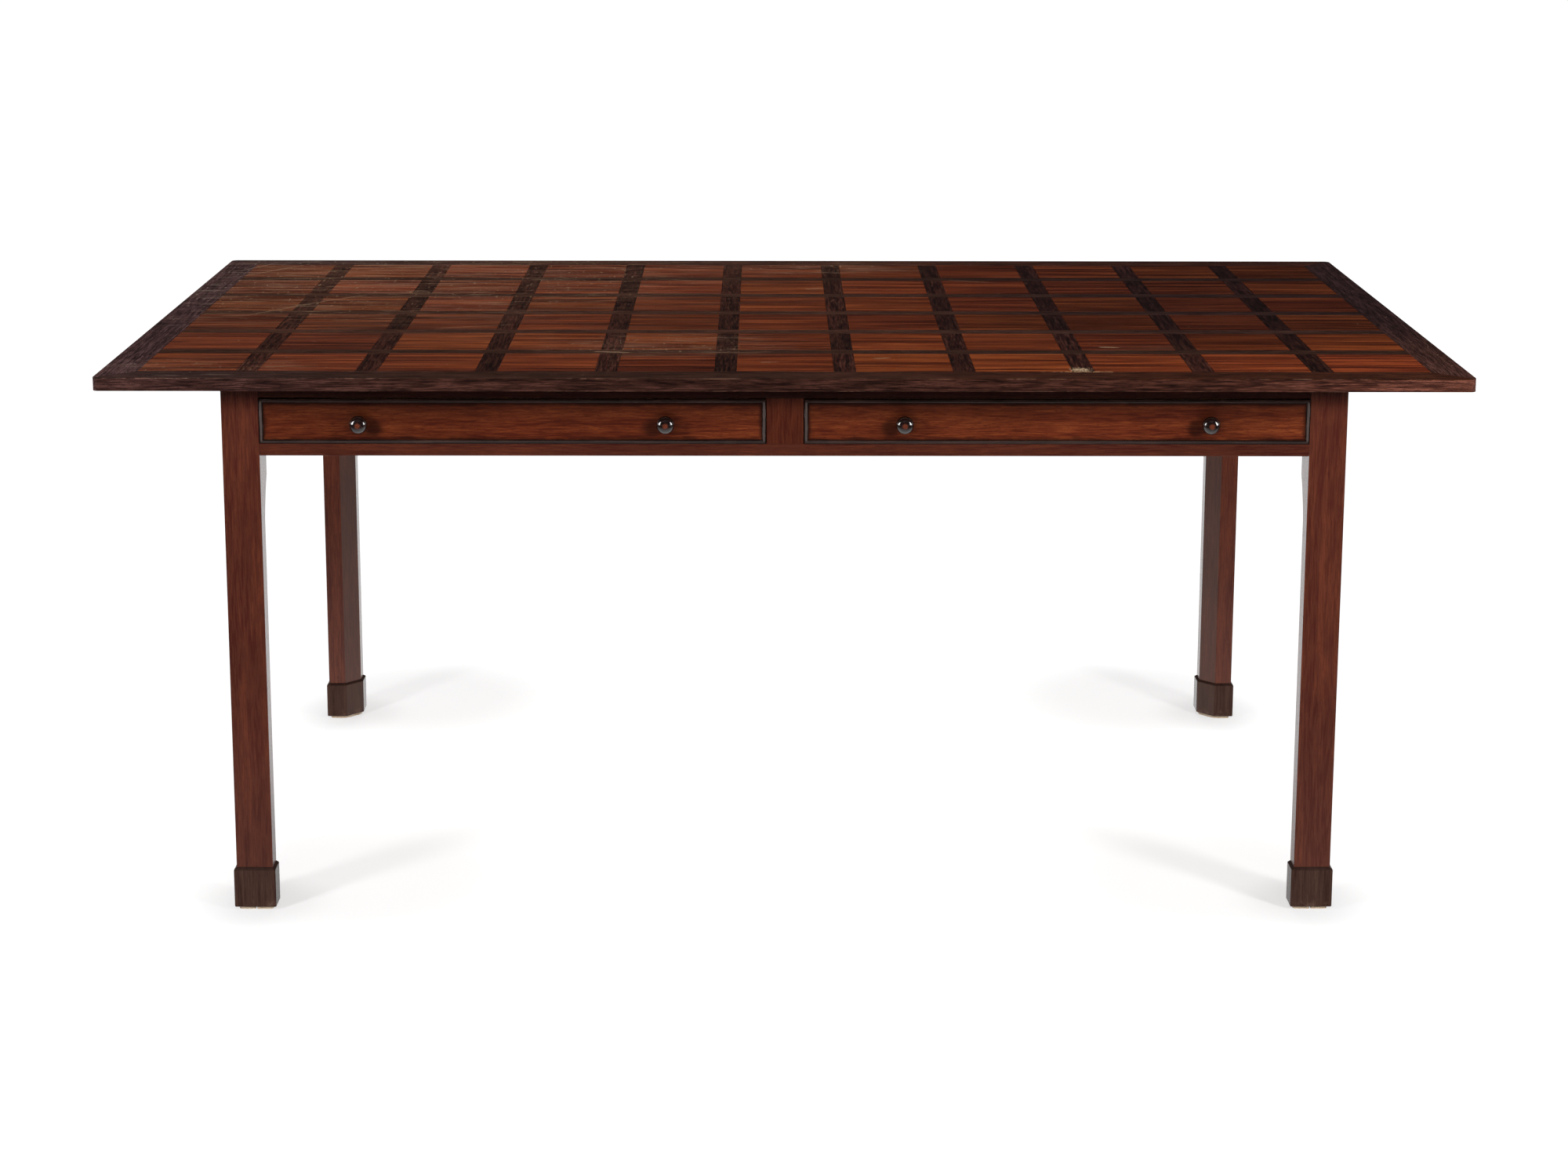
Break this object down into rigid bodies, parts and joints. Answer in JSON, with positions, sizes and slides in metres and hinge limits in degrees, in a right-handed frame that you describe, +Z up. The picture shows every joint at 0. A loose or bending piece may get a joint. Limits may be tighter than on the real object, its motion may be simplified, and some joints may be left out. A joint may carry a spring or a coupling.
{
  "type": "desk",
  "caption": "Writing desk with a large flat parquetry top, drawers in a shallow frieze, turned wooden knobs, and square legs chamfered on their inner corner over block feet.",
  "frame": {"origin": "on the floor, under the centre of the top", "axes": "+X along the desk's length to the right of a person who faces the drawers, +Y from the drawer side to the rear, +Z up"},
  "size_m": [1.83, 1.03, 0.762],
  "materials": {
    "square_veneer": "polished, worn",
    "dark_strip_wood": "polished, worn",
    "red_frame_wood": "polished",
    "foot_wood": "satin",
    "glide_felt": "matt",
    "lining_wood": "unpolished",
    "drawer_front_wood": "polished",
    "black_bead_wood": "polished",
    "knob_wood": "high polish"
  },
  "bodies": {
    "frame": {"top_board": "square_veneer", "border_front": "dark_strip_wood", "border_right": "dark_strip_wood", "border_rear": "dark_strip_wood", "border_left": "dark_strip_wood", "stripe_1": "dark_strip_wood", "stripe_2": "dark_strip_wood", "stripe_3": "dark_strip_wood", "stripe_4": "dark_strip_wood", "stripe_5": "dark_strip_wood", "bar_1": "dark_strip_wood", "bar_2": "dark_strip_wood", "bar_3": "dark_strip_wood", "bar_4": "dark_strip_wood", "bar_5": "dark_strip_wood", "bar_6": "dark_strip_wood", "bar_7": "dark_strip_wood", "bar_8": "dark_strip_wood", "bar_9": "dark_strip_wood", "bar_10": "dark_strip_wood", "leg_front_left": "red_frame_wood", "leg_front_right": "red_frame_wood", "leg_rear_left": "red_frame_wood", "leg_rear_right": "red_frame_wood", "foot_front_left": "foot_wood", "foot_front_right": "foot_wood", "foot_rear_left": "foot_wood", "foot_rear_right": "foot_wood", "glide_front_left": "glide_felt", "glide_front_right": "glide_felt", "glide_rear_left": "glide_felt", "glide_rear_right": "glide_felt", "rail_lower": "red_frame_wood", "rail_upper": "red_frame_wood", "muntin": "red_frame_wood", "apron_left": "red_frame_wood", "apron_right": "red_frame_wood", "apron_rear": "red_frame_wood", "runner_left": "lining_wood", "runner_right": "lining_wood", "runner_centre": "lining_wood", "kicker_left": "lining_wood", "kicker_right": "lining_wood", "kicker_centre": "lining_wood"},
    "drawer_left": {"drawer_left_front": "drawer_front_wood", "drawer_left_bead": "black_bead_wood", "drawer_left_side_left": "lining_wood", "drawer_left_side_right": "lining_wood", "drawer_left_back": "lining_wood", "drawer_left_bottom": "lining_wood", "drawer_left_knob_left": "knob_wood", "drawer_left_knob_right": "knob_wood"},
    "drawer_right": {"drawer_right_front": "drawer_front_wood", "drawer_right_bead": "black_bead_wood", "drawer_right_side_left": "lining_wood", "drawer_right_side_right": "lining_wood", "drawer_right_back": "lining_wood", "drawer_right_bottom": "lining_wood", "drawer_right_knob_left": "knob_wood", "drawer_right_knob_right": "knob_wood"}
  },
  "joints": [
    {"name": "drawer_left_slide", "type": "slide", "parent": "frame", "child": "drawer_left", "axis": [0, -1, 0], "range_m": [0, 0.38]},
    {"name": "drawer_right_slide", "type": "slide", "parent": "frame", "child": "drawer_right", "axis": [0, -1, 0], "range_m": [0, 0.38]}
  ]
}
